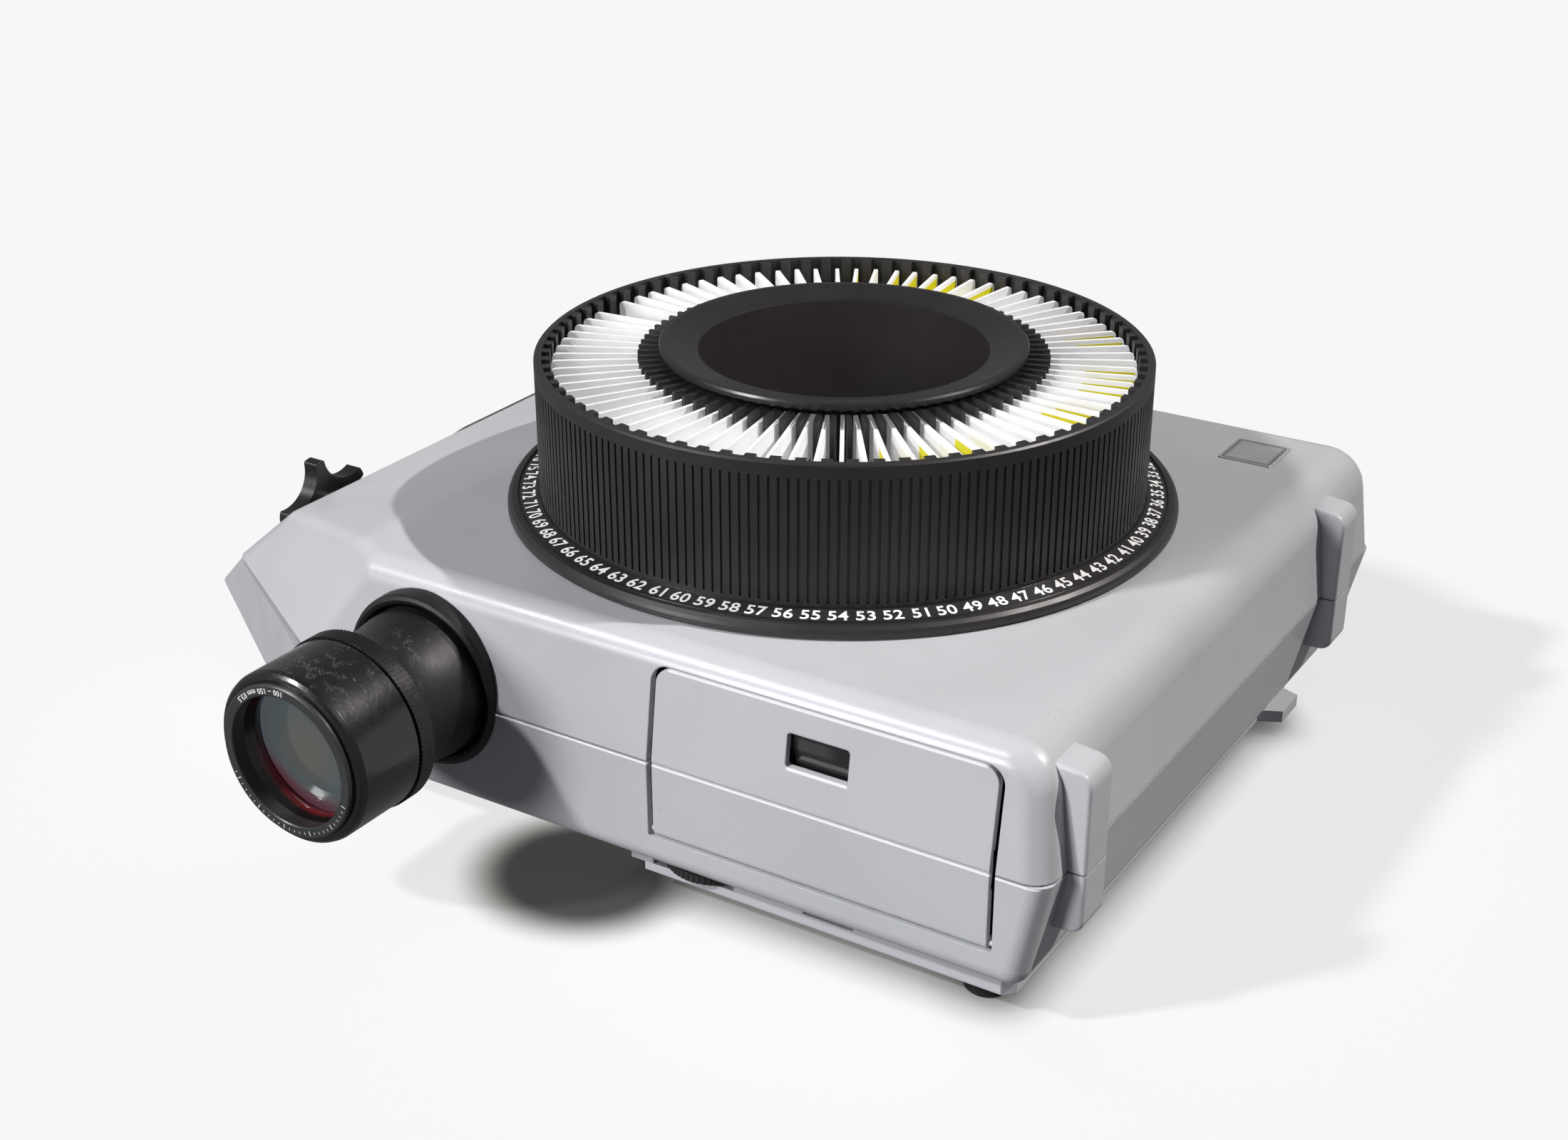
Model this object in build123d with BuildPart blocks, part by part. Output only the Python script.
"""Slide projector with a round 80-slide tray, one STEP file per piece, in millimetres.

Frame: the origin is the tray's spin axis at the floor. +X is right, -Y is the front
(lens end), +Z is up. save() shifts every piece so the projector stands centred on its
own footprint.
"""
from build123d import *
from math import cos, pi, radians, sin, sqrt
import os

os.makedirs("parts", exist_ok=True)

# ---------------------------------------------------------------- shared dimensions
FOOTPRINT_CENTRE = (52, 31.6, 0)

WALL = 3.0            # housing wall
DECK_Z = 105.5        # top deck
PART_Z = 61.0         # parting line between the housings
SEAM = 0.3            # half gap at the parting line
UPPER_Z = PART_Z + SEAM
LOWER_Z = PART_Z - SEAM
BELLY_Z = 18.0        # underside of the lower housing
FRONT_Y = -155.5      # walls at the parting line
REAR_Y = 161.0
RIGHT_X = 168.5
LEFT_X = -233.6

CHASSIS_Z, CHASSIS_T = 24.3, 1.6
CHASSIS_TOP = CHASSIS_Z + CHASSIS_T
RUN = 0.05            # radial running clearance

LENS_X, LENS_Z = -89.0, 65.0
LENS_SPOT = (LENS_X, LENS_Z)
LENS_AXIS = Axis((LENS_X, 0, LENS_Z), (0, 1, 0))
LENS_PLANE = Plane(origin=(LENS_X, 0, LENS_Z), x_dir=(1, 0, 0), z_dir=(0, 0, 1))

SPINDLE_R = 16.0
SPROCKET_SPOT = (0, -104)
KNOB_Y, KNOB_Z = -70.0, 74.0
KNOB_SPOT = (KNOB_Y, KNOB_Z)

ELEVATION_SPOT = (26.0, -129.6)
SLAB_Z = 8.0                     # underside of the base slab, on the rubber feet
REAR_LEFT_FOOT = (-150, 110)
REAR_LEFT_FOOT_H = 4.0

SLOPE = radians(37.6)            # control panel on the slanted left side
PANEL = Plane(origin=(-216.0, 62.0, 76.13), x_dir=(0, 1, 0), z_dir=(-sin(SLOPE), 0, cos(SLOPE)))

LAMP_SPOT = (LENS_X, 63)         # lamp module in the rear wall, (x, z)
LAMP_OPENING = 66.0

INLET_SPOT = (130, 44)           # rear sockets, (x, z)
SWITCH_SPOT = (92, 44)
REMOTE_SPOTS = [(50, 44), (26, 44)]
INLET_SIZE = (27.0, 20.0)
SWITCH_SIZE = (22.0, 13.0)
REMOTE_R = 8.0
SOCKET_FIT = 0.4                 # total play of a socket in its opening

PLAQUE_SPOT = (125.3, 125.6)
PLAQUE_W, PLAQUE_D = 23.4, 24.8  # recess in the deck
PLAQUE_DEPTH = 0.6

# floor and chassis air slots below the optics
AIR_SPOT = (-60, 85)
AIR_PITCH, AIR_COUNT = 9, 9


# ---------------------------------------------------------------- helpers
def level(z):
    """Horizontal plane at z, facing up."""
    return Plane.XY.offset(z)


def at_y(y):
    """Upright plane at y with (x, z) coordinates; positive extrusion runs to the front."""
    return Plane.XZ.offset(-y)


def at_x(x):
    """Upright plane at x with (y, z) coordinates; positive extrusion runs to the right."""
    return Plane.YZ.offset(x)


def cut(amount):
    """Extrude the pending sketch of the active part as a cut."""
    extrude(amount=amount, mode=Mode.SUBTRACT)


def save(part, label):
    with BuildPart() as placed:
        with Locations(FOOTPRINT_CENTRE):
            add(part)
    placed.part.label = label
    export_step(placed.part, "parts/" + label + ".step")


def turned(plane, axis, outline):
    """Revolve a closed outline, drawn on the plane, about the axis."""
    with BuildPart() as body:
        with BuildSketch(plane):
            with BuildLine():
                Polyline(*outline, close=True)
            make_face()
        revolve(axis=axis)
    return body.part


def turned_upright(outline):
    """Turn an outline of (radius, z) points about the tray's spin axis."""
    return turned(Plane.XZ, Axis.Z, outline)


def turned_on_lens(outline):
    """Turn an outline of (radius, y) points about the lens axis."""
    return turned(LENS_PLANE, LENS_AXIS, outline)


# ---------------------------------------------------------------- drafted forms for the shells
# Outlines are (x, z). The deep ones run past the parting line, so that the cavity stays open.
UPPER_CROWN = [(163.6, DECK_Z), (-130, DECK_Z), (-198, 90)]
UPPER_OUTLINE = [(LEFT_X, UPPER_Z), (RIGHT_X, UPPER_Z), *UPPER_CROWN]
UPPER_DEEP_Z = 51.3
UPPER_DEEP = [(-246.6, UPPER_DEEP_Z), (169.6, UPPER_DEEP_Z), *UPPER_CROWN]
LOWER_KEEL = [(160, BELLY_Z), (-205, BELLY_Z), (-279, 26.5)]
LOWER_OUTLINE = [(RIGHT_X, LOWER_Z), *LOWER_KEEL, (LEFT_X, LOWER_Z)]
LOWER_DEEP = [(170.5, 71), *LOWER_KEEL, (-220.3, 71)]

# Front, rear and front left corner walls: a point on the wall and its outward direction.
FRONT_POINT = (0, FRONT_Y, PART_Z)
REAR_POINT = (0, REAR_Y, PART_Z)
CORNER_POINT = (LEFT_X, -105, PART_Z)
UPPER_CUTS = [
    (FRONT_POINT, (0, -cos(radians(8)), sin(radians(8)))),
    (REAR_POINT, (0, cos(radians(5.14)), sin(radians(5.14)))),
    (CORNER_POINT, (-0.455, -0.766, 0.454)),
]
LOWER_CUTS = [
    (FRONT_POINT, (0, -1, 0)),
    (REAR_POINT, (0, 0.983, -0.183)),
    (CORNER_POINT, (-0.533, -0.846, 0)),
]


def drafted_form(outline, cuts, inset=0, rounds=()):
    """Solid form moved inward by inset; rounds lists corners as (x, z, radius)."""
    with BuildPart() as form:
        with BuildSketch(Plane.XZ) as outline_sketch:
            with BuildLine():
                Polyline(*outline, close=True)
            make_face()
            if inset:
                offset(amount=-inset, kind=Kind.INTERSECTION, mode=Mode.REPLACE)
            for (x, z, radius) in rounds:
                fillet(outline_sketch.vertices().sort_by_distance((x, z, 0))[0], radius)
        extrude(amount=180, both=True)
        for (origin, direction) in cuts:
            normal = Vector(*direction).normalized()
            wall_plane = Plane(origin=Vector(*origin) - normal * inset, z_dir=normal)
            split(bisect_by=wall_plane, keep=Keep.BOTTOM)
    return form.part


def rim_edges(part, cuts, seam_z):
    """Edges around the cut walls, leaving out those lying flat at seam_z."""
    picked = ShapeList()
    for (_, direction) in cuts:
        normal = Vector(*direction).normalized()
        flat_faces = part.faces().filter_by(GeomType.PLANE)
        face = sorted(flat_faces, key=lambda f: (f.normal_at() - normal).length)[0]
        for edge in face.edges():
            box = edge.bounding_box()
            at_seam = abs(box.min.Z - seam_z) < 0.05 and abs(box.max.Z - seam_z) < 0.05
            if not at_seam and not any(edge.is_same(other) for other in picked):
                picked.append(edge)
    return picked


upper_form = drafted_form(UPPER_OUTLINE, UPPER_CUTS,
                          rounds=[(163.6, DECK_Z, 17), (-130, DECK_Z, 40), (-198, 90, 8)])
upper_cavity = drafted_form(UPPER_DEEP, UPPER_CUTS, WALL, [(160.8, DECK_Z - WALL, 17 - WALL)])
upper_cavity = upper_cavity.fillet(6, rim_edges(upper_cavity, UPPER_CUTS, UPPER_DEEP_Z + WALL))
lower_form = drafted_form(LOWER_OUTLINE, LOWER_CUTS, rounds=[(160, BELLY_Z, 8)])
lower_cavity = drafted_form(LOWER_DEEP, LOWER_CUTS, WALL)

# ---------------------------------------------------------------- details of both housings
BOSSES = [(150, -104, 103.5), (150, 140, 103.5), (-180, 140, 92.0), (-150, -104, 98.0)]  # x, y, top
BOSS_SPOTS = [(x, y) for (x, y, _) in BOSSES]

BUMPER_Y = (-132.5, 105.7)
BUMPER_ROOT_X, BUMPER_X = 150, 175
BUMPER_HALF_W = 8.4

HINGE_Y, HINGE_Z = -153.1, 33.6
HINGE_SPOT = (HINGE_Y, HINGE_Z)
DOOR_X0, DOOR_X1, DOOR_Z0, DOOR_Z1 = 12.8, 149.9, 31.0, 98.0
DOOR_W = DOOR_X1 - DOOR_X0
DOOR_MID_X = (DOOR_X0 + DOOR_X1) / 2


def bumper(y, seam_z, tip_z, root_z, radius):
    """Block on the right wall, from the seam to tip_z outside and root_z inside."""
    with BuildPart() as block:
        with BuildSketch(at_y(y)) as profile:
            with BuildLine():
                Polyline((BUMPER_ROOT_X, seam_z), (BUMPER_X, seam_z), (BUMPER_X, tip_z),
                         (BUMPER_ROOT_X, root_z), close=True)
            make_face()
            fillet(profile.vertices().sort_by_distance((BUMPER_X, tip_z, 0))[0], radius)
        extrude(amount=BUMPER_HALF_W, both=True)
    return block.part


def bumper_uprights(housing):
    """Upright edges on the outer faces of the bumpers."""
    uprights = housing.edges().filter_by(Axis.Z)
    return uprights.filter_by(lambda e: abs(e.center().X - BUMPER_X) < 0.1)


# openings cut through both housings: lens, front compartment and lamp module
with BuildPart() as lens_opening:
    with BuildSketch(at_y(-130)):
        with Locations(LENS_SPOT):
            Circle(34.6)
    extrude(amount=40)

with BuildPart() as door_opening:
    with BuildSketch(at_y(-135)) as door_hole:
        with Locations((DOOR_MID_X, (DOOR_Z0 + DOOR_Z1) / 2)):
            Rectangle(DOOR_W, DOOR_Z1 - DOOR_Z0)
        fillet(door_hole.vertices().group_by(Axis.Y)[-1], 6.6)
        fillet(door_hole.vertices().group_by(Axis.Y)[0], 1.0)
    extrude(amount=30)

with BuildPart() as lamp_opening:
    with BuildSketch(at_y(140)):
        with Locations(LAMP_SPOT):
            Rectangle(LAMP_OPENING, LAMP_OPENING)
    extrude(amount=-40)

# ---------------------------------------------------------------- upper housing
with BuildPart() as upper_housing:
    add(upper_form)
    fillet(rim_edges(upper_housing.part, UPPER_CUTS, UPPER_Z), 10)
    for y in BUMPER_Y:
        add(bumper(y, UPPER_Z, tip_z=98, root_z=100.5, radius=6))
    fillet(bumper_uprights(upper_housing), 1.4)
    add(upper_cavity, mode=Mode.SUBTRACT)
    for (x, y, top) in BOSSES:
        with BuildSketch(level(UPPER_Z)):
            with Locations((x, y)):
                Circle(4)
                Circle(1.4, mode=Mode.SUBTRACT)
        extrude(amount=top - UPPER_Z)
    # slide drop slot, spindle hole and index sprocket hole in the deck
    with BuildSketch(level(95)):
        with Locations((-80, 0)):
            RectangleRounded(72, 6.4, 1.5)
        Circle(SPINDLE_R + 0.2)
        with Locations(SPROCKET_SPOT):
            Circle(17.5)
    cut(20)
    add(lens_opening.part, mode=Mode.SUBTRACT)
    add(door_opening.part, mode=Mode.SUBTRACT)
    # focus knob slot in the slanted side
    with BuildSketch(level(62.5)):
        with Locations((-214.5, KNOB_Y)):
            RectangleRounded(19, 60, 2)
    cut(40)
    # control panel opening
    with BuildSketch(PANEL.offset(-8)):
        RectangleRounded(96, 27, 2)
    cut(16)
    add(lamp_opening.part, mode=Mode.SUBTRACT)
    # plaque recess
    with BuildSketch(level(DECK_Z - PLAQUE_DEPTH)):
        with Locations(PLAQUE_SPOT):
            RectangleRounded(PLAQUE_W, PLAQUE_D, 1.2)
    cut(5)
    # warm air slots high in the rear wall
    with BuildSketch(at_y(140)):
        with Locations((60, 82)):
            with GridLocations(7, 1, 16, 1):
                SlotOverall(22, 3, rotation=90)
    cut(-40)
save(upper_housing.part, "upper_housing")

# ---------------------------------------------------------------- lower housing
BOSS_FOOT_Z = BELLY_Z + 1
STANDOFF_Z = BELLY_Z + 2
STANDOFF_SPOTS = [(130, -60), (130, 110), (-120, -60), (-160, 100), (0, 0)]
LUG_SPOT = (-150.9, 33.8)        # hinge lugs, (y, z)
LUG_SPANS = [(8, DOOR_X0 - 8), (DOOR_X1, 6)]    # start x, length
PAD_Y = 155.0

with BuildPart() as lower_housing:
    add(lower_form)
    fillet(rim_edges(lower_housing.part, LOWER_CUTS, LOWER_Z), 7)
    for y in BUMPER_Y:
        add(bumper(y, LOWER_Z, tip_z=38.5, root_z=37, radius=5))
    fillet(bumper_uprights(lower_housing), 1.4)
    add(lower_cavity, mode=Mode.SUBTRACT)
    # screw bosses with head recess and through hole
    for spot in BOSS_SPOTS:
        with BuildSketch(level(BOSS_FOOT_Z)):
            with Locations(spot):
                Circle(4.6)
        extrude(amount=LOWER_Z - BOSS_FOOT_Z)
        for (radius, depth) in ((3.3, 8), (1.7, 60)):
            with BuildSketch(level(BELLY_Z - 2)):
                with Locations(spot):
                    Circle(radius)
            cut(depth)
    # chassis standoffs
    with BuildSketch(level(STANDOFF_Z)):
        with Locations(*STANDOFF_SPOTS):
            Circle(5)
    extrude(amount=CHASSIS_Z - 0.1 - STANDOFF_Z)
    # rear left foot pedestal
    with BuildSketch(level(REAR_LEFT_FOOT_H)):
        with Locations(REAR_LEFT_FOOT):
            Circle(12.5)
    extrude(amount=BELLY_Z - REAR_LEFT_FOOT_H + 1, taper=-3)
    # door hinge lugs
    for (start_x, length) in LUG_SPANS:
        with BuildSketch(at_x(start_x)):
            with Locations(LUG_SPOT):
                Rectangle(6.2, 6.6)
        extrude(amount=length)
    add(lens_opening.part, mode=Mode.SUBTRACT)
    add(door_opening.part, mode=Mode.SUBTRACT)
    # hinge pin bore
    with BuildSketch(at_x(9)):
        with Locations(HINGE_SPOT):
            Circle(1.25)
    cut(146)
    add(lamp_opening.part, mode=Mode.SUBTRACT)
    # flat pad and holes for the rear sockets
    with BuildSketch(at_y(PAD_Y)):
        with Locations((81, 43.5)):
            RectangleRounded(142, 29, 3)
    extrude(amount=-6.2)
    with BuildSketch(at_y(140)):
        with Locations(INLET_SPOT):
            Rectangle(INLET_SIZE[0] + SOCKET_FIT, INLET_SIZE[1] + SOCKET_FIT)
        with Locations(SWITCH_SPOT):
            Rectangle(SWITCH_SIZE[0] + SOCKET_FIT, SWITCH_SIZE[1] + SOCKET_FIT)
        with Locations(*REMOTE_SPOTS):
            Circle(REMOTE_R + SOCKET_FIT / 2)
    cut(-40)
    # cooling slots in the floor and the elevation screw hole
    with BuildSketch(level(10)):
        with Locations(AIR_SPOT):
            with GridLocations(AIR_PITCH, 1, AIR_COUNT, 1):
                SlotOverall(60, 4, rotation=90)
        with Locations(ELEVATION_SPOT):
            Circle(4.6)
    cut(12)
save(lower_housing.part, "lower_housing")

# ---------------------------------------------------------------- front door and compartment
DOOR_T = 2.6
DOOR_SIDE = 2.1                  # groove at each side of the door
DOOR_GAP = 0.6                   # gap above the door
DOOR_TOP = DOOR_Z1 - DOOR_GAP
LEAF_W = DOOR_W - 2 * DOOR_SIDE
WINDOW_SPOT = (81.2, 81.8)
LINER_SPOT = (81.2, 63.5)
LINER_W, LINER_H, LINER_T = 141, 72, 1.5

with BuildPart() as front_door:
    # the leaf is the housings' own skin, with the seam bridged
    add(drafted_form(UPPER_OUTLINE, UPPER_CUTS))
    add(drafted_form(LOWER_OUTLINE, LOWER_CUTS))
    with BuildSketch(level(PART_Z - 0.5)):
        Rectangle(700, 700)
    extrude(amount=1.0)
    with BuildSketch(at_y(-100)) as leaf:
        with Locations((DOOR_MID_X, (HINGE_Z + DOOR_TOP) / 2)):
            Rectangle(LEAF_W, DOOR_TOP - HINGE_Z)
        fillet(leaf.vertices().group_by(Axis.Y)[-1], 6)
    extrude(amount=55.3, mode=Mode.INTERSECT)
    add(drafted_form(UPPER_DEEP, UPPER_CUTS, DOOR_T), mode=Mode.SUBTRACT)
    add(drafted_form(LOWER_DEEP, LOWER_CUTS, DOOR_T), mode=Mode.SUBTRACT)
    # moulded groove in line with the parting line
    with BuildSketch(at_x(DOOR_X0)):
        with BuildLine():
            Polyline((-157, PART_Z + 1.1), (-157, PART_Z - 1.1), (-154.5, PART_Z), close=True)
        make_face()
    cut(DOOR_W)
    # hinge bead with its pins
    for (start_x, radius, length) in ((DOOR_X0 + DOOR_SIDE, 2.2, LEAF_W), (9.6, 1.2, 145)):
        with BuildSketch(at_x(start_x)):
            with Locations(HINGE_SPOT):
                Circle(radius)
        extrude(amount=length)
    # window opening
    with BuildSketch(at_y(-140)):
        with Locations(WINDOW_SPOT):
            RectangleRounded(24.4, 12.4, 1.4)
    cut(20)
    # stiffening ribs on the back of the leaf
    with BuildSketch(at_y(-150.4)):
        with Locations((40, 70), (122, 70)):
            Rectangle(1.6, 44)
    extrude(amount=-3.2)
save(front_door.part, "front_door")

with BuildPart() as receiver_window:
    with BuildSketch(at_y(-148.8)):
        with Locations(WINDOW_SPOT):
            RectangleRounded(27, 15, 1)
    extrude(amount=-1.6)
save(receiver_window.part, "receiver_window")

# box behind the door, open to the front
with BuildPart() as compartment_liner:
    with BuildSketch(at_y(-144)):
        with Locations(LINER_SPOT):
            Rectangle(LINER_W, LINER_H)
    extrude(amount=-26)
    with BuildSketch(at_y(-144)):
        with Locations(LINER_SPOT):
            Rectangle(LINER_W - 2 * LINER_T, LINER_H - 2 * LINER_T)
    cut(LINER_T - 26)
save(compartment_liner.part, "compartment_liner")

with BuildPart() as badge:
    with BuildSketch(level(DECK_Z - PLAQUE_DEPTH + 0.05)):
        with Locations(PLAQUE_SPOT):
            RectangleRounded(PLAQUE_W - 0.3, PLAQUE_D - 0.3, 1.1)
    extrude(amount=0.95)
    chamfer(badge.faces().sort_by(Axis.Z)[-1].edges(), 0.25)
save(badge.part, "badge")

# ---------------------------------------------------------------- base and feet
# plan outlines, (x, y)
SLAB_PLAN = [(4, -146), (149.5, -146), (153.5, -142), (153.5, 115), (4, 115)]
TAB_PLAN = [(150, 78), (162.5, 84), (162.5, 101), (150, 106)]
SLAB_SCREWS = [(20, 60), (140, 60), (60, -112), (140, -80)]
FOOT_SPOTS = [(138, -132), (140, 100), (20, 100), (14, -104)]
RECESS_Z = 12.0                  # floor of the thumbwheel recess
SCREW_Z = 11.8                   # foot of the elevation screw
SCREW_R = 4.0
WHEEL_Z, WHEEL_T, WHEEL_R = 12.6, 3.6, 20.0

with BuildPart() as base_slab:
    with BuildSketch(level(SLAB_Z)) as slab_plan:
        with BuildLine():
            Polyline(*SLAB_PLAN, close=True)
        make_face()
        fillet(slab_plan.vertices().group_by(Axis.Y)[-1], 5)
    extrude(amount=9.9)
    # raised strip along the left edge
    with BuildSketch(level(11.8)):
        with Locations((1.5, -15.5)):
            Rectangle(7, 261)
    extrude(amount=6.1)
    # right side tab near the rear
    with BuildSketch(level(SLAB_Z)):
        with BuildLine():
            Polyline(*TAB_PLAN, close=True)
        make_face()
    extrude(amount=5)
    fillet(base_slab.edges().filter_by(Axis.X).group_by(Axis.Y)[0].sort_by(Axis.Z)[0], 1.0)
    # hollow from above
    with BuildSketch(level(10.5)):
        with Locations((79, -5)):
            Rectangle(140, 226)
    cut(10)
    # thumbwheel recess
    with BuildSketch(level(RECESS_Z)):
        with Locations((25.2, -135)):
            Rectangle(35, 33)
    cut(10)
    # round part of the recess, then the screw foot hole
    for (z, radius) in ((RECESS_Z, WHEEL_R + 0.6), (5, 9.6)):
        with BuildSketch(level(z)):
            with Locations(ELEVATION_SPOT):
                Circle(radius)
        cut(10)
    # small slot in the front face
    with BuildSketch(at_y(-150)):
        with Locations((82, 15.2)):
            RectangleRounded(20.5, 4.4, 0.8)
    cut(-14)
    # screw holes
    with BuildSketch(level(5)):
        with Locations(*SLAB_SCREWS):
            Circle(2.2)
    cut(10)
save(base_slab.part, "base_slab")

with BuildPart() as rubber_feet:
    with BuildSketch():
        with Locations(*FOOT_SPOTS):
            Circle(8.6)
    extrude(amount=SLAB_Z)
    with BuildSketch():
        with Locations(REAR_LEFT_FOOT):
            Circle(10)
    extrude(amount=REAR_LEFT_FOOT_H)
    fillet(rubber_feet.faces().group_by(Axis.Z)[0].edges(), 1.2)
save(rubber_feet.part, "rubber_feet")

with BuildPart() as elevation_foot:
    with BuildSketch(level(7.6)):
        with Locations(ELEVATION_SPOT):
            Circle(9)
    extrude(amount=SCREW_Z - 7.6)
    fillet(elevation_foot.faces().sort_by(Axis.Z)[0].edges(), 1.2)
    with BuildSketch(level(SCREW_Z)):
        with Locations(ELEVATION_SPOT):
            Circle(SCREW_R)
    extrude(amount=14.7)
    chamfer(elevation_foot.faces().sort_by(Axis.Z)[-1].edges(), 0.8)
save(elevation_foot.part, "elevation_foot")

# thumbwheel with grip notches and a hub on top
with BuildPart() as elevation_wheel:
    with BuildSketch(level(WHEEL_Z)):
        with Locations(ELEVATION_SPOT):
            Circle(WHEEL_R)
            with PolarLocations(WHEEL_R + 0.2, 56):
                Circle(0.5, mode=Mode.SUBTRACT)
            Circle(SCREW_R + RUN, mode=Mode.SUBTRACT)
    extrude(amount=WHEEL_T)
    with BuildSketch(level(WHEEL_Z + WHEEL_T)):
        with Locations(ELEVATION_SPOT):
            Circle(8)
            Circle(SCREW_R + RUN, mode=Mode.SUBTRACT)
    extrude(amount=1.4)
save(elevation_wheel.part, "elevation_wheel")

# ---------------------------------------------------------------- tray
TRAY_R = 120.0        # tray wall
TRAY_TOP = 166.0
TRAY_FLOOR = 108.6
TRAY_POS = 81         # 80 slides and the empty zero position
TRAY_PITCH = 360.0 / TRAY_POS
TRAY_BORE = SPINDLE_R + RUN
SLIDE = 50.0          # slide mount, square
SLIDE_T = 1.6
SLIDE_Z = 113.0
SLIDE_MID_R = 88.5    # radius of the slide's centre, and of the gate
FILM_H = 24.0
FILM_Z = SLIDE_Z + (SLIDE - FILM_H) / 2
APERTURE_HALF_W = 17.5

# sections, (radius, z)
TRAY_RIM = [
    (117, TRAY_FLOOR), (117, TRAY_TOP), (119.3, TRAY_TOP), (TRAY_R, TRAY_TOP - 0.7),
    (TRAY_R, 112.0), (128.4, 110.5), (129.0, 111.0), (131.0, 110.6), (132.3, 109.4),
    (132.8, 108.0), (132.8, 106.3), (131.4, 106.3), (131.2, 107.6), (129.8, TRAY_FLOOR),
]
TRAY_HUB = [
    (TRAY_BORE, TRAY_FLOOR), (61, TRAY_FLOOR), (61, 163), (58, 163), (58, 111), (19, 111),
    (19, 122), (TRAY_BORE, 122),
]
LOCK_RING = [
    (71.0, 166.6), (71.8, 167.4), (71.8, 168.9), (71.2, 169.7), (69.4, 169.75), (57.6, 167.0),
    (56.4, 166.3), (54.2, 163), (31, 126), (33.5, 126), (57.0, 163.6), (60, 166.6),
]
# radial bars at every position: z, middle radius, length, width, height
TRAY_BARS = [
    (TRAY_FLOOR, 89, 57, 1.2, 3.6),                          # ribs between the slide slots
    (112.0, 115.55, 3.5, 4.0, TRAY_TOP - 112.0 - 0.2),       # outer dividers
    (111.8, 70.2, 19.6, 1.7, 165.5 - 111.8),                 # inner comb
]

with BuildPart() as tray_body:
    add(turned_upright(TRAY_RIM))
    # hub wall, hub floor and spindle sleeve
    add(turned_upright(TRAY_HUB))
    for (z, mid_r, length, width, height) in TRAY_BARS:
        with BuildSketch(level(z)):
            with PolarLocations(mid_r, TRAY_POS):
                Rectangle(length, width)
        extrude(amount=height)
    # grip flutes
    with BuildSketch(level(113.6)):
        with PolarLocations(TRAY_R + 0.15, 216):
            Rectangle(1.5, 1.1)
    cut(47)
    # index teeth under the rim
    with BuildSketch(level(105.9)):
        Circle(119.6)
        Circle(115.5, mode=Mode.SUBTRACT)
        with PolarLocations(117.5, TRAY_POS, start_angle=-90):
            Rectangle(6, 5.2, mode=Mode.SUBTRACT)
    extrude(amount=2.9)
save(tray_body.part, "tray_body")

# bottom plate with the slot the slides drop through
with BuildPart() as tray_plate:
    with BuildSketch(level(107.2)):
        Circle(112)
        Circle(TRAY_BORE, mode=Mode.SUBTRACT)
        with Locations((-SLIDE_MID_R, 0)):
            Rectangle(60, 5.6, mode=Mode.SUBTRACT)
        with PolarLocations(40, 3, start_angle=30):
            Circle(4, mode=Mode.SUBTRACT)
    extrude(amount=1.1)
save(tray_plate.part, "tray_plate")

save(turned_upright(LOCK_RING), "lock_ring")


def slide_places():
    """All tray positions but the empty one, which stands over the gate."""
    return PolarLocations(SLIDE_MID_R, TRAY_POS - 1, start_angle=180 + TRAY_PITCH,
                          angular_range=360 - 2 * TRAY_PITCH, endpoint=True)


with BuildPart() as slide_mounts:
    with BuildSketch(level(SLIDE_Z)):
        with slide_places():
            Rectangle(SLIDE, SLIDE_T)
    extrude(amount=SLIDE)
    # one ring-shaped cut opens every film aperture
    with BuildSketch(level(FILM_Z)):
        Circle(SLIDE_MID_R + APERTURE_HALF_W)
        Circle(SLIDE_MID_R - APERTURE_HALF_W, mode=Mode.SUBTRACT)
    cut(FILM_H)
save(slide_mounts.part, "slide_mounts")

with BuildPart() as slide_films:
    with BuildSketch(level(FILM_Z)):
        with slide_places():
            Rectangle(34.8, 0.2)
    extrude(amount=FILM_H)
save(slide_films.part, "slide_films")

# ---------------------------------------------------------------- tray drive
SPINDLE_OUTLINE = [              # (radius, z)
    (0, 98.5), (22, 98.5), (22, 102.4), (SPINDLE_R, 102.4), (SPINDLE_R, 105.6), (19.6, 105.6),
    (19.6, 107.1), (SPINDLE_R, 107.1), (SPINDLE_R, 127), (13, 132), (0, 132),
]
SPROCKET_Z, SPROCKET_T = 99.5, 4.0
SPROCKET_BORE = 2.5

with BuildPart() as spindle:
    add(turned_upright(SPINDLE_OUTLINE))
    # slot across the top
    with BuildSketch(level(125)):
        Rectangle(3, 20)
    cut(10)
save(spindle.part, "spindle")

# disc with nine pins and a hub
with BuildPart() as index_sprocket:
    with BuildSketch(level(SPROCKET_Z)):
        with Locations(SPROCKET_SPOT):
            Circle(15.5)
            Circle(SPROCKET_BORE, mode=Mode.SUBTRACT)
    extrude(amount=SPROCKET_T)
    with BuildSketch(level(SPROCKET_Z + SPROCKET_T)):
        with Locations(SPROCKET_SPOT):
            with PolarLocations(13, 9, start_angle=-90):
                Circle(1.5)
            Circle(5)
            Circle(SPROCKET_BORE, mode=Mode.SUBTRACT)
    extrude(amount=3.5)
save(index_sprocket.part, "index_sprocket")

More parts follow.
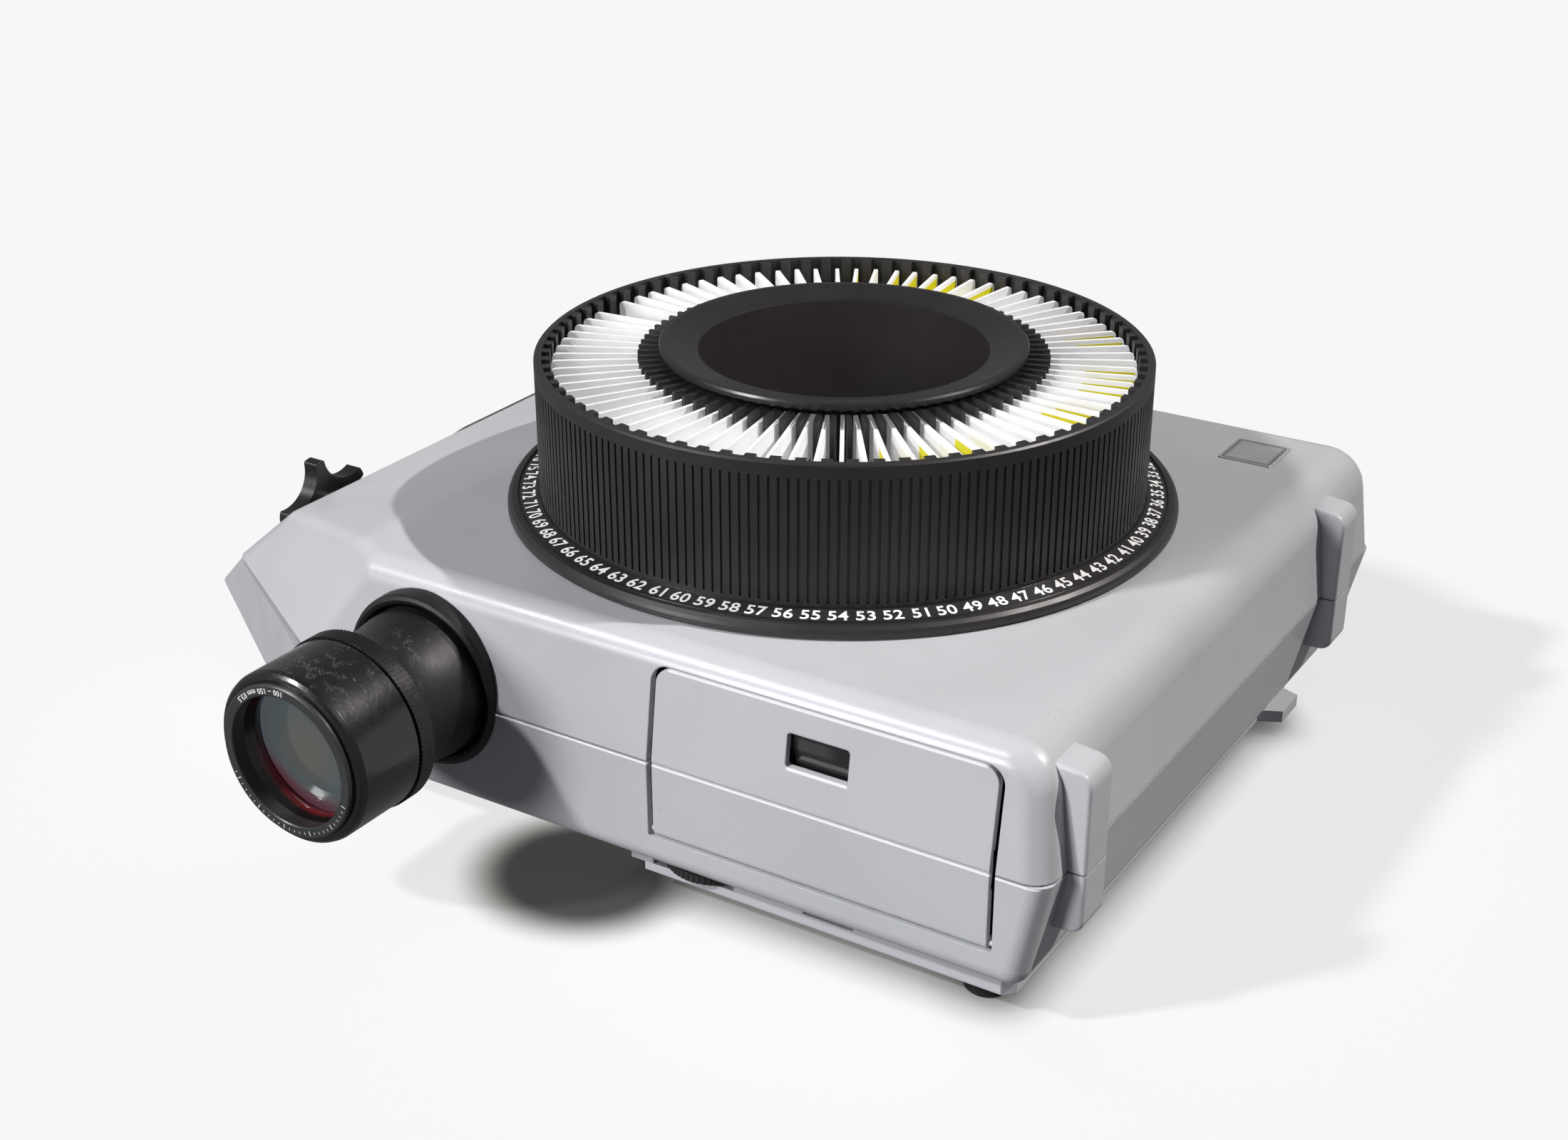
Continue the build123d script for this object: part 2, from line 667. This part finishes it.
with BuildPart() as index_motor:
    with BuildSketch(level(62)):
        with Locations(SPROCKET_SPOT):
            RectangleRounded(35, 26, 3)
    extrude(amount=33)
    # collar, then shaft
    for (z, radius, height) in ((95, 8, 2), (97, SPROCKET_BORE - RUN, 9)):
        with BuildSketch(level(z)):
            with Locations(SPROCKET_SPOT):
                Circle(radius)
        extrude(amount=height)
    # flange and two posts up to the underside of the deck
    with BuildSketch(level(92)):
        with Locations(SPROCKET_SPOT):
            RectangleRounded(52, 12, 3)
    extrude(amount=2)
    with BuildSketch(level(94)):
        with Locations((-22, -104), (22, -104)):
            Circle(2.8)
    extrude(amount=8.4)
save(index_motor.part, "index_motor")


# ---------------------------------------------------------------- slide change
def gear_face(pitch_r, count, addendum, dedendum, backlash, phase=0.0):
    """Gear with straight-flanked teeth, centred on the origin."""
    root_r = pitch_r - dedendum
    tip_r = pitch_r + addendum
    half = pi * pitch_r / count / 2 - backlash    # half tooth width at the pitch circle
    half_root = half + dedendum * 0.36
    half_tip = half - addendum * 0.36
    with BuildSketch() as face:
        Circle(root_r)
        with PolarLocations(0, count, start_angle=phase):
            with BuildLine(mode=Mode.PRIVATE) as tooth_line:
                Polyline((root_r - 0.6, half_root), (pitch_r, half), (tip_r, half_tip),
                         (tip_r, -half_tip), (pitch_r, -half), (root_r - 0.6, -half_root),
                         close=True)
            add(make_face(tooth_line.edges(), mode=Mode.PRIVATE))
    return face.sketch


LIFT_X, LIFT_Z = 20.0, 60.0      # pivot of the lift arm
LIFT_SPOT = (LIFT_X, LIFT_Z)
ARM_GEAR_R, ARM_TEETH = 20, 40
PINION_R, PINION_TEETH = 8, 16
PINION_X = LIFT_X + ARM_GEAR_R + PINION_R
LIFT_GEAR_Y, LIFT_GEAR_T = 4, 4.9
LIFT_MOTOR_Y = 8
PIVOT_R = 3.0
PINION_BORE = 2.0
GATE_SPOT = (-SLIDE_MID_R, LENS_Z)
GATE_PLAN = [                    # (x, y), a channel open to the right
    (-125, -4.2), (-56, -4.2), (-56, -1.6), (-114.4, -1.6),
    (-114.4, 1.6), (-56, 1.6), (-56, 4.2), (-125, 4.2),
]
ARM_OUTLINE = [(LIFT_X, 57.4), (-86, 33.6), (-86, 38.4), (-80, 38.9), (LIFT_X, 62.9)]    # (x, z)
BRACKET_OUTLINE = [              # (y, z)
    (-12, CHASSIS_TOP), (-6, CHASSIS_TOP), (-6, 68), (-9, 68), (-9, 28.5), (-12, 28.5),
]

with BuildPart() as slide_gate:
    with BuildSketch(level(34)):
        with BuildLine():
            Polyline(*GATE_PLAN, close=True)
        make_face()
    extrude(amount=64.5)
    # foot on the chassis
    with BuildSketch(level(CHASSIS_TOP)):
        with Locations((-119.5, 0)):
            Rectangle(11, 8.4)
    extrude(amount=8.5)
    # light opening
    with BuildSketch(at_y(10)):
        with Locations(GATE_SPOT):
            RectangleRounded(37, 37, 1)
    cut(20)
save(slide_gate.part, "slide_gate")

with BuildPart() as lift_arm:
    with BuildSketch(at_y(0.9)):
        with BuildLine():
            Polyline(*ARM_OUTLINE, close=True)
        make_face()
    extrude(amount=1.8)
    with BuildSketch(Plane(origin=(LIFT_X, LIFT_GEAR_Y, LIFT_Z), x_dir=(1, 0, 0),
                           z_dir=(0, -1, 0))):
        add(gear_face(ARM_GEAR_R, ARM_TEETH, addendum=0.8, dedendum=1.0, backlash=0.12))
        Circle(PIVOT_R + RUN, mode=Mode.SUBTRACT)
    extrude(amount=LIFT_GEAR_T)
    with BuildSketch(at_y(LIFT_GEAR_Y)):
        with Locations(LIFT_SPOT):
            Circle(PIVOT_R + RUN)
    cut(8)
save(lift_arm.part, "lift_arm")

# turned by half a tooth to mesh with the arm's gear
with BuildPart() as lift_pinion:
    with BuildSketch(Plane(origin=(PINION_X, LIFT_GEAR_Y, LIFT_Z), x_dir=(1, 0, 0),
                           z_dir=(0, -1, 0))):
        add(gear_face(PINION_R, PINION_TEETH, addendum=0.8, dedendum=1.0, backlash=0.12,
                      phase=360 / PINION_TEETH / 2))
        Circle(PINION_BORE, mode=Mode.SUBTRACT)
    extrude(amount=LIFT_GEAR_T)
save(lift_pinion.part, "lift_pinion")

# body to the rear, shaft to the front
with BuildPart() as lift_motor:
    for (radius, length) in ((14, -34), (PINION_BORE - RUN, 9)):
        with BuildSketch(at_y(LIFT_MOTOR_Y)):
            with Locations((PINION_X, LIFT_Z)):
                Circle(radius)
        extrude(amount=length)
    fillet(lift_motor.faces().sort_by(Axis.Y)[-1].edges(), 2)
save(lift_motor.part, "lift_motor")

# angle bracket with the arm's pivot pin
with BuildPart() as lift_bracket:
    with BuildSketch(at_x(8)):
        with BuildLine():
            Polyline(*BRACKET_OUTLINE, close=True)
        make_face()
    extrude(amount=24)
    with BuildSketch(at_y(-12)):
        with Locations(LIFT_SPOT):
            Circle(PIVOT_R)
    extrude(amount=-17)
save(lift_bracket.part, "lift_bracket")

with BuildPart() as shutter_blade:
    with BuildSketch(at_y(5.4)):
        with Locations(GATE_SPOT):
            RectangleRounded(42, 42, 2)
        with Locations((-60, 48)):
            Rectangle(20, 5)
    extrude(amount=-0.8)
save(shutter_blade.part, "shutter_blade")

with BuildPart() as shutter_solenoid:
    with BuildSketch(level(CHASSIS_TOP)):
        with Locations((-30, 18)):
            RectangleRounded(26, 16, 1.5)
    extrude(amount=16)
    # plunger to the left
    with BuildSketch(at_x(-43)):
        with Locations((18, 34)):
            Circle(3)
    extrude(amount=-8)
save(shutter_solenoid.part, "shutter_solenoid")

# ---------------------------------------------------------------- lens
TUBE_R = 29.3
TUBE_BORE = 26.5
GLASS_R = 26.45
TUBE_REAR_Y = -38
NECK_R = 30.0                    # tube under the zoom ring and front barrel
NECK_Y0, NECK_Y1 = -188.4, -221.9
RACK_PITCH = pi
RACK_X, RACK_W = -134, 16

# sections, (radius, y)
LENS_COLLAR = [
    (30.3, -144), (34.5, -144), (34.5, -155.6), (33.9, -156.9), (32.6, -157.4),
    (31.2, -156.8), (30.3, -155.2),
]
TUBE_FLARE = [(27.9, -172), (28.2, -180), (31.0, NECK_Y0)]
FRONT_BARREL = [
    (NECK_R, -195.8), (32.9, -195.8), (33.3, -196.4), (33.2, -223.0), (32.7, -224.6),
    (31.7, -225.6), (30.6, -225.9), (29.6, -225.9), (29.6, -222.2), (NECK_R, NECK_Y1),
]
FRONT_RING = [
    (26.5, -222.0), (29.5, -222.0), (29.5, -227.4), (28.9, -228.0), (25.6, -228.0),
    (25.2, -227.6), (26.3, -220), (26.5, -220),
]
RACK_BAR = [(-108, 58), (-38, 58), (-38, 65.0), (-108, 65.0)]    # (y, z)
RACK_TOOTH = [(-1.05, -1.2), (-0.665, 0.2), (-0.38, 1.0), (0.38, 1.0), (0.665, 0.2), (1.05, -1.2)]


def dome(radius, rim_y, sag, side):
    """Middle and top of a spherical face whose centre is on the lens axis."""
    ball_r = (radius * radius + sag * sag) / (2 * sag)
    top = rim_y + side * sag
    mid_y = top - side * (ball_r - sqrt(ball_r * ball_r - radius * radius / 4))
    return (radius / 2, mid_y), (0, top)


def domed_glass(flat_y, rim_y, sag):
    """Lens element flat at the rear and domed to the front."""
    with BuildPart() as glass:
        with BuildSketch(LENS_PLANE):
            with BuildLine():
                back = Polyline((0, flat_y), (GLASS_R, flat_y), (GLASS_R, rim_y))
                face = ThreePointArc(back @ 1, *dome(GLASS_R, rim_y, sag, -1))
                Line(face @ 1, back @ 0)
            make_face()
        revolve(axis=LENS_AXIS)
    return glass.part


save(turned_on_lens(LENS_COLLAR), "lens_collar")

# sleeve on two feet, with a slot on its left for the focus rack
with BuildPart() as lens_guide:
    with BuildSketch(LENS_PLANE):
        with Locations((31.2, -88)):
            Rectangle(2 * (33 - 31.2), 112)
    revolve(axis=LENS_AXIS)
    with BuildSketch(level(CHASSIS_TOP)):
        with Locations((LENS_X, -126), (LENS_X, -50)):
            Rectangle(34, 12)
    extrude(amount=12)
    with BuildSketch(at_y(-32)):
        with Locations(LENS_SPOT):
            Circle(TUBE_R + RUN)
    cut(112)
    with BuildSketch(level(56)):
        with Locations((-125, -76)):
            Rectangle(24, 106)
    cut(13)
save(lens_guide.part, "lens_guide")

with BuildPart() as lens_barrel:
    with BuildSketch(LENS_PLANE):
        with BuildLine():
            tube = Polyline((TUBE_BORE, TUBE_REAR_Y), (TUBE_R, TUBE_REAR_Y), (TUBE_R, -161))
            flare = Spline(tube @ 1, *TUBE_FLARE)
            Polyline(flare @ 1, (NECK_R, NECK_Y0), (NECK_R, NECK_Y1), (TUBE_BORE, NECK_Y1),
                     (TUBE_BORE, TUBE_REAR_Y))
        make_face()
    revolve(axis=LENS_AXIS)
    # focus rack along the left of the tube, a tooth gap under the focus pinion
    with BuildSketch(at_x(RACK_X)):
        with BuildLine():
            Polyline(*RACK_BAR, close=True)
        make_face()
        with Locations((KNOB_Y - RACK_PITCH / 2, 65.8)):
            with GridLocations(RACK_PITCH, 1, 21, 1):
                with BuildLine(mode=Mode.PRIVATE) as rack_tooth:
                    Polyline(*RACK_TOOTH, close=True)
                add(make_face(rack_tooth.edges(), mode=Mode.PRIVATE))
    extrude(amount=RACK_W)
    with BuildSketch(at_y(-30)):
        with Locations(LENS_SPOT):
            Circle(TUBE_BORE)
    cut(100)
save(lens_barrel.part, "lens_barrel")

with BuildPart() as zoom_ring:
    with BuildSketch(at_y(-188.6)):
        with Locations(LENS_SPOT):
            Circle(34)
            with PolarLocations(34.1, 120):
                Rectangle(0.9, 0.8, mode=Mode.SUBTRACT)
            Circle(NECK_R + RUN, mode=Mode.SUBTRACT)
    extrude(amount=6.8)
save(zoom_ring.part, "zoom_ring")

save(turned_on_lens(FRONT_BARREL), "front_barrel")
save(turned_on_lens(FRONT_RING), "front_ring")
save(domed_glass(flat_y=-207, rim_y=-213, sag=4.6), "front_element")

with BuildPart() as rear_elements:
    add(domed_glass(flat_y=-52, rim_y=-58, sag=3.0))
    add(domed_glass(flat_y=-144, rim_y=-150, sag=2.6))
save(rear_elements.part, "rear_elements")

# ---------------------------------------------------------------- focus drive
SHAFT_X, SHAFT_R = -217, 3.0     # left end of the shaft
KNOB_X, KNOB_T = -219.5, 7       # left face of the knob
FOCUS_BRACKET_W = 18

# star knob with five scallops, a hub and a shaft bore
with BuildPart() as focus_knob:
    with BuildSketch(at_x(KNOB_X)):
        with Locations(KNOB_SPOT):
            Circle(23.5)
            with PolarLocations(28.4, 5, start_angle=63.4):
                Circle(14.2, mode=Mode.SUBTRACT)
    extrude(amount=KNOB_T)
    fillet(focus_knob.edges().filter_by(Axis.X), 1.2)
    with BuildSketch(at_x(KNOB_X + KNOB_T)):
        with Locations(KNOB_SPOT):
            Circle(8)
    extrude(amount=6.5)
    with BuildSketch(at_x(SHAFT_X)):
        with Locations(KNOB_SPOT):
            Circle(SHAFT_R)
    cut(20)
save(focus_knob.part, "focus_knob")

# shaft with the pinion that meshes with the rack
with BuildPart() as focus_shaft:
    with BuildSketch(at_x(SHAFT_X)):
        with Locations(KNOB_SPOT):
            Circle(SHAFT_R)
    extrude(amount=93)
    with BuildSketch(Plane(origin=(-133.5, KNOB_Y, KNOB_Z), x_dir=(0, 1, 0), z_dir=(1, 0, 0))):
        add(gear_face(PINION_R, PINION_TEETH, addendum=0.75, dedendum=1.1, backlash=0.14))
    extrude(amount=7)
save(focus_shaft.part, "focus_shaft")

with BuildPart() as shaft_bracket:
    with BuildSketch(at_x(-152)):
        with BuildLine():
            front_y = KNOB_Y - FOCUS_BRACKET_W / 2
            rear_y = KNOB_Y + FOCUS_BRACKET_W / 2
            Polyline((front_y, CHASSIS_TOP), (rear_y, CHASSIS_TOP), (rear_y, KNOB_Z + 7),
                     (front_y, KNOB_Z + 7), close=True)
        make_face()
        with Locations(KNOB_SPOT):
            Circle(SHAFT_R + RUN, mode=Mode.SUBTRACT)
    extrude(amount=3)
    with BuildSketch(level(CHASSIS_TOP)):
        with Locations((-157, KNOB_Y)):
            Rectangle(12, FOCUS_BRACKET_W)
    extrude(amount=2.5)
save(shaft_bracket.part, "shaft_bracket")

# ---------------------------------------------------------------- lamp and optics
CONDENSER_Y, CONDENSER_L, CONDENSER_W = 14, 62, 60
CONDENSER_T = 2
# front rim y, rear rim y, front bulge, rear bulge, radius
CONDENSER_GLASSES = [(18, 24, 0.4, 6.0, 24.0), (44, 52, 6.5, 0.4, 26.0)]
LAMP_PANEL_W = LAMP_OPENING - 1.2
GRIP_SPOT = (LENS_X, 46)
TRAY_SHEET_Z, TRAY_SHEET_T = 32, 2.5     # floor sheet of the lamp module
LAMP_OUTLINE = [                 # (radius, y)
    (0, 100), (2.5, 100.6), (4.6, 103), (5.6, 107), (5.6, 118), (5.0, 121), (5.0, 136.5),
    (0, 136.5),
]

with BuildPart() as condenser_housing:
    with BuildSketch(at_y(CONDENSER_Y)):
        with Locations(LENS_SPOT):
            RectangleRounded(CONDENSER_W, CONDENSER_W, 2)
    extrude(amount=-CONDENSER_L)
    with BuildSketch(at_y(CONDENSER_Y + CONDENSER_T)):
        with Locations(LENS_SPOT):
            RectangleRounded(CONDENSER_W - 2 * CONDENSER_T, CONDENSER_W - 2 * CONDENSER_T, 1)
    cut(2 * CONDENSER_T - CONDENSER_L)
    # light path through both end walls
    with BuildSketch(at_y(10)):
        with Locations(LENS_SPOT):
            Circle(22)
    cut(-70)
    # feet
    with BuildSketch(level(CHASSIS_TOP)):
        with Locations((LENS_X - 22, 45), (LENS_X + 22, 45)):
            Rectangle(10, 40)
    extrude(amount=10)
save(condenser_housing.part, "condenser_housing")

with BuildPart() as condenser_lenses:
    for (front_y, rear_y, front_sag, rear_sag, radius) in CONDENSER_GLASSES:
        with BuildSketch(LENS_PLANE):
            with BuildLine():
                centre_line = Line((0, rear_y + rear_sag), (0, front_y - front_sag))
                front_mid, _ = dome(radius, front_y, front_sag, -1)
                rear_mid, _ = dome(radius, rear_y, rear_sag, 1)
                ThreePointArc(centre_line @ 1, front_mid, (radius, front_y))
                Line((radius, front_y), (radius, rear_y))
                ThreePointArc((radius, rear_y), rear_mid, centre_line @ 0)
            make_face()
        revolve(axis=LENS_AXIS)
save(condenser_lenses.part, "condenser_lenses")

with BuildPart() as heat_filter:
    with BuildSketch(at_y(66)):
        with Locations(LENS_SPOT):
            Rectangle(54, 54)
    extrude(amount=-3)
save(heat_filter.part, "heat_filter")

with BuildPart() as lamp_module:
    with BuildSketch(at_y(152)):
        with Locations(LAMP_SPOT):
            RectangleRounded(LAMP_PANEL_W, LAMP_PANEL_W, 3)
    extrude(amount=-7)
    with BuildSketch(level(TRAY_SHEET_Z)):
        with Locations((LENS_X, 118)):
            Rectangle(56, 70)
    extrude(amount=TRAY_SHEET_T)
    # finger recess and grip bar
    with BuildSketch(at_y(154)):
        with Locations(GRIP_SPOT):
            RectangleRounded(44, 18, 4)
    cut(-8)
    with BuildSketch(at_y(153.5)):
        with Locations(GRIP_SPOT):
            RectangleRounded(46, 6, 2)
    extrude(amount=-8)
    # vent slots
    with BuildSketch(at_y(150)):
        with Locations((LENS_X, 76)):
            with GridLocations(6, 1, 9, 1):
                SlotOverall(26, 2.6, rotation=90)
    cut(-12)
    # socket stand
    with BuildSketch(level(TRAY_SHEET_Z + TRAY_SHEET_T - 0.1)):
        with Locations((LENS_X, 136)):
            Rectangle(26, 14)
    extrude(amount=42)
    with BuildSketch(at_y(128)):
        with Locations(LENS_SPOT):
            Circle(5.1)
    cut(-9)
save(lamp_module.part, "lamp_module")

with BuildPart() as reflector:
    with BuildSketch(LENS_PLANE):
        with BuildLine():
            inner = ThreePointArc((26, 88), (20.5, 108), (7, 124))
            neck = Line(inner @ 1, (7, 125.8))
            outer = ThreePointArc(neck @ 1, (21.8, 109), (27.5, 88))
            Line(outer @ 1, inner @ 0)
        make_face()
    revolve(axis=LENS_AXIS)
save(reflector.part, "reflector")

save(turned_on_lens(LAMP_OUTLINE), "lamp")

# ---------------------------------------------------------------- blower
BLOW_X, BLOW_Y = 62.0, 88.0
BLOWER_SPOT = (BLOW_X, BLOW_Y)
DUCT_Y = BLOW_Y + 22             # outlet duct, to the left
BLOWER_R, BLOWER_WALL = 38, 2
BLOWER_SHAFT_R = 2.0
ROTOR_R = 31

with BuildPart() as blower_housing:
    with BuildSketch(level(CHASSIS_TOP)):
        with Locations(BLOWER_SPOT):
            Circle(BLOWER_R)
        with Locations((BLOW_X - 48, DUCT_Y)):
            Rectangle(60, 32)
    extrude(amount=48)
    with BuildSketch(level(28)):
        with Locations(BLOWER_SPOT):
            Circle(BLOWER_R - BLOWER_WALL)
        with Locations((BLOW_X - 50, DUCT_Y)):
            Rectangle(64, 32 - 2 * BLOWER_WALL)
    cut(44)
    # inlet in the top
    with BuildSketch(level(70)):
        with Locations(BLOWER_SPOT):
            Circle(23)
    cut(10)
save(blower_housing.part, "blower_housing")

# back plate, blades, shroud ring and hub
with BuildPart() as blower_rotor:
    with BuildSketch(level(34)):
        with Locations(BLOWER_SPOT):
            Circle(ROTOR_R)
            Circle(BLOWER_SHAFT_R + RUN, mode=Mode.SUBTRACT)
    extrude(amount=2)
    with BuildSketch(level(36)):
        with Locations(BLOWER_SPOT):
            with PolarLocations(28, 26):
                Rectangle(6.4, 1.0, rotation=28)
    extrude(amount=30)
    with BuildSketch(level(66)):
        with Locations(BLOWER_SPOT):
            Circle(ROTOR_R)
            Circle(25, mode=Mode.SUBTRACT)
    extrude(amount=1.6)
    with BuildSketch(level(30)):
        with Locations(BLOWER_SPOT):
            Circle(5)
            Circle(BLOWER_SHAFT_R + RUN, mode=Mode.SUBTRACT)
    extrude(amount=9)
save(blower_rotor.part, "blower_rotor")

# body, shaft and three-armed mounting plate
with BuildPart() as blower_motor:
    for (z, radius, height) in ((43, 15, 31), (30, BLOWER_SHAFT_R, 13)):
        with BuildSketch(level(z)):
            with Locations(BLOWER_SPOT):
                Circle(radius)
        extrude(amount=height)
    with BuildSketch(level(74)):
        with Locations(BLOWER_SPOT):
            Circle(15)
            with PolarLocations(15, 3):
                Rectangle(30, 7)
    extrude(amount=2)
save(blower_motor.part, "blower_motor")

# ---------------------------------------------------------------- chassis and electrics
CORE_X, CORE_Z = 104, 52         # transformer
BOARD_Z, BOARD_T = 34, 1.6
BOARD_TOP = BOARD_Z + BOARD_T
FLANGE_Y, FLANGE_T = 161.25, 1.6           # socket flanges outside the pad
SOCKET_END_Y = FLANGE_Y + 0.05             # socket bodies reach just into their flanges
SOCKET_Y = 145                             # inner end of switch and remote sockets
SWITCH_HOLE = (18, 10.6)
ROCKER_PROFILE = [(-8, -1.5), (8, -1.5), (8, 7.2), (0, 6.0), (-8, 7.2)]

with BuildPart() as chassis_plate:
    with BuildSketch(level(CHASSIS_Z)):
        with Locations((-20, 22)):
            Rectangle(350, 248)
        with Locations((-119.5, -102), *BOSS_SPOTS):
            Circle(6.5, mode=Mode.SUBTRACT)
        with Locations((155, 145)):
            Rectangle(16, 16, mode=Mode.SUBTRACT)
        with Locations(AIR_SPOT):
            with GridLocations(AIR_PITCH, 1, AIR_COUNT, 1):
                SlotOverall(56, 3.4, rotation=90, mode=Mode.SUBTRACT)
    extrude(amount=CHASSIS_T)
save(chassis_plate.part, "chassis_plate")

with BuildPart() as transformer_core:
    with BuildSketch(at_y(-96)):
        with Locations((CORE_X, CORE_Z)):
            Rectangle(66, 52)
        with Locations((CORE_X - 16.5, CORE_Z), (CORE_X + 16.5, CORE_Z)):
            Rectangle(11, 30, mode=Mode.SUBTRACT)
    extrude(amount=-34)
save(transformer_core.part, "transformer_core")

with BuildPart() as transformer_winding:
    with BuildSketch(level(38)):
        with Locations((CORE_X, -79)):
            RectangleRounded(43, 56, 9)
            Rectangle(22.1, 34.1, mode=Mode.SUBTRACT)
    extrude(amount=28)
save(transformer_winding.part, "transformer_winding")

with BuildPart() as main_board:
    with BuildSketch(level(BOARD_Z)):
        with Locations((-160, 40)):
            Rectangle(60, 130)
    extrude(amount=BOARD_T)
    # low blocks
    with BuildSketch(level(BOARD_TOP)):
        with Locations((-150, 10), (-172, 20)):
            Rectangle(14, 34)
        with Locations((-160, 60)):
            Rectangle(40, 12)
    extrude(amount=5)
    # tall cylinders
    with BuildSketch(level(BOARD_TOP)):
        with Locations((-140, 84), (-155, 84), (-170, 84)):
            Circle(5.5)
    extrude(amount=18)
    # posts on the chassis
    with BuildSketch(level(CHASSIS_TOP)):
        with Locations((-184, -15), (-136, -15), (-184, 95), (-136, 95)):
            Circle(2.5)
    extrude(amount=8.2)
save(main_board.part, "main_board")

with BuildPart() as power_inlet:
    with BuildSketch(at_y(134)):
        with Locations(INLET_SPOT):
            Rectangle(*INLET_SIZE)
    extrude(amount=134 - SOCKET_END_Y)
    with BuildSketch(at_y(FLANGE_Y)):
        with Locations(INLET_SPOT):
            RectangleRounded(31, 24, 2)
    extrude(amount=-FLANGE_T)
    with BuildSketch(at_y(140)):
        with Locations(INLET_SPOT):
            RectangleRounded(22, 14, 2)
    cut(-30)
    # three contact blades
    with BuildSketch(at_y(139)):
        with Locations((123, 43), (137, 43), (130, 46)):
            Rectangle(2, 5)
    extrude(amount=-16)
save(power_inlet.part, "power_inlet")

with BuildPart() as switch_frame:
    with BuildSketch(at_y(SOCKET_Y)):
        with Locations(SWITCH_SPOT):
            Rectangle(*SWITCH_SIZE)
            Rectangle(*SWITCH_HOLE, mode=Mode.SUBTRACT)
    extrude(amount=SOCKET_Y - SOCKET_END_Y)
    with BuildSketch(at_y(FLANGE_Y)):
        with Locations(SWITCH_SPOT):
            RectangleRounded(26, 16, 1.5)
            Rectangle(*SWITCH_HOLE, mode=Mode.SUBTRACT)
    extrude(amount=-FLANGE_T)
save(switch_frame.part, "switch_frame")

# rocker, tilted in its frame
with BuildPart() as power_switch:
    with BuildSketch(level(39.0)):
        with Locations(Location((SWITCH_SPOT[0], 156, 0), (0, 0, -7))):
            Polygon(*ROCKER_PROFILE, align=None)
    extrude(amount=10)
save(power_switch.part, "power_switch")

# two round sockets, hollowed from the rear, each with a centre pin
with BuildPart() as remote_sockets:
    for (y, radius, length) in ((SOCKET_Y, REMOTE_R, SOCKET_END_Y - SOCKET_Y),
                                (FLANGE_Y, 10, FLANGE_T)):
        with BuildSketch(at_y(y)):
            with Locations(*REMOTE_SPOTS):
                Circle(radius)
        extrude(amount=-length)
    with BuildSketch(at_y(150)):
        with Locations(*REMOTE_SPOTS):
            Circle(6.5)
    cut(-20)
    with BuildSketch(at_y(149)):
        with Locations(*REMOTE_SPOTS):
            Circle(2)
    extrude(amount=-8)
save(remote_sockets.part, "remote_sockets")

# ---------------------------------------------------------------- control panel
# places along the panel, positive to the rear
BUTTONS = {
    "forward_button": -36,
    "reverse_button": -20,
    "focus_out_button": -4,
    "focus_in_button": 12,
}
BUTTON_ROW = 3                   # height of the row on the panel
BUTTON_W, BUTTON_H = 12.0, 14.0
DISPLAY_SPOT = (33, BUTTON_ROW)
DISPLAY_W, DISPLAY_H = 24.0, 13.0

with BuildPart() as control_panel:
    with BuildSketch(PANEL):
        RectangleRounded(102, 33, 3)
        for place in BUTTONS.values():
            with Locations((place, BUTTON_ROW)):
                RectangleRounded(BUTTON_W + 0.5, BUTTON_H + 0.5, 1.6, mode=Mode.SUBTRACT)
        with Locations(DISPLAY_SPOT):
            RectangleRounded(DISPLAY_W, DISPLAY_H, 1, mode=Mode.SUBTRACT)
    extrude(amount=1.4)
    # skirt that enters the housing
    with BuildSketch(PANEL.offset(-4)):
        RectangleRounded(95.4, 26.4, 1.8)
        RectangleRounded(92, 23, 1.2, mode=Mode.SUBTRACT)
    extrude(amount=4)
save(control_panel.part, "control_panel")

for (name, place) in BUTTONS.items():
    with BuildPart() as button:
        with BuildSketch(PANEL.offset(-3.6)):
            with Locations((place, BUTTON_ROW)):
                RectangleRounded(BUTTON_W, BUTTON_H, 1.4)
        extrude(amount=6.6)
        above_panel = PANEL.offset(30).location.position
        fillet(button.faces().sort_by_distance(above_panel)[0].edges(), 0.5)
    save(button.part, name)

with BuildPart() as frame_display:
    with BuildSketch(PANEL.offset(-2.5)):
        with Locations(DISPLAY_SPOT):
            RectangleRounded(DISPLAY_W - 0.4, DISPLAY_H - 0.4, 0.9)
    extrude(amount=3.4)
save(frame_display.part, "frame_display")

# ---------------------------------------------------------------- fasteners
SCREW_HEAD_Z, SCREW_HEAD_H = BELLY_Z + 2.4, 3.5

with BuildPart() as housing_screws:
    for spot in BOSS_SPOTS:
        # head, then shank
        for (z, radius, height) in ((SCREW_HEAD_Z, 3, SCREW_HEAD_H),
                                    (SCREW_HEAD_Z + SCREW_HEAD_H, 1.38, 54)):
            with BuildSketch(level(z)):
                with Locations(spot):
                    Circle(radius)
            extrude(amount=height)
        # cross recess
        with BuildSketch(level(BELLY_Z + 2)):
            with Locations(spot):
                Rectangle(4, 0.8)
                Rectangle(0.8, 4)
        cut(1.8)
save(housing_screws.part, "housing_screws")
